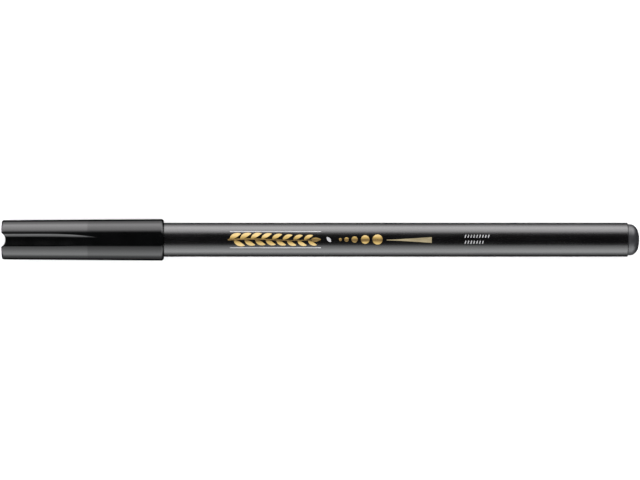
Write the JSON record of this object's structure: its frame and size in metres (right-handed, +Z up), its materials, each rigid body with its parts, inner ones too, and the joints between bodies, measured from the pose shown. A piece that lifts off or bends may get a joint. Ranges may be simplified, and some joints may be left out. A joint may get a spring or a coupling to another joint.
{
  "type": "brush pen",
  "caption": "Slim capped brush pen: straight round barrel, domed rear plug, and a fluted pull-off cap over a tapered fibre nib.",
  "frame": {"origin": "on the pen's axis, half way along the capped pen", "axes": "+X along the pen from the cap's closed end towards the rear plug, +Z up through the middle of one of the cap's two flutes"},
  "size_m": [0.166, 0.0108, 0.0108],
  "materials": {
    "cap": "polished injection-moulded black",
    "seal": "natural soft polyethylene",
    "barrel": "satin black",
    "section": "smooth black",
    "collar": "smooth light grey",
    "nib": "fibre soaked in black ink",
    "reservoir": "fibre rod soaked in black ink",
    "film": "thin clear film",
    "plug": "matte dark grey"
  },
  "bodies": {
    "pen": {"barrel": "barrel", "nib_section": "section", "nib_collar": "collar", "nib_shank": "nib", "reservoir_core": "reservoir", "reservoir_film": "film", "end_plug": "plug"},
    "cap": {"cap_shell": "cap", "cap_inner_seal": "seal"},
    "nib": {"nib_tip": "nib"}
  },
  "joints": [
    {"name": "cap_pull", "type": "slide", "parent": "pen", "child": "cap", "axis": [-1, 0, 0], "range_m": [0, 0.048]},
    {"name": "nib_flex", "type": "hinge", "parent": "pen", "child": "nib", "pos_m": [-0.0646, 0, 0], "axis": [0, 0, 1], "range_deg": [-20, 20], "stiffness_Nm_per_rad": 0.01}
  ]
}
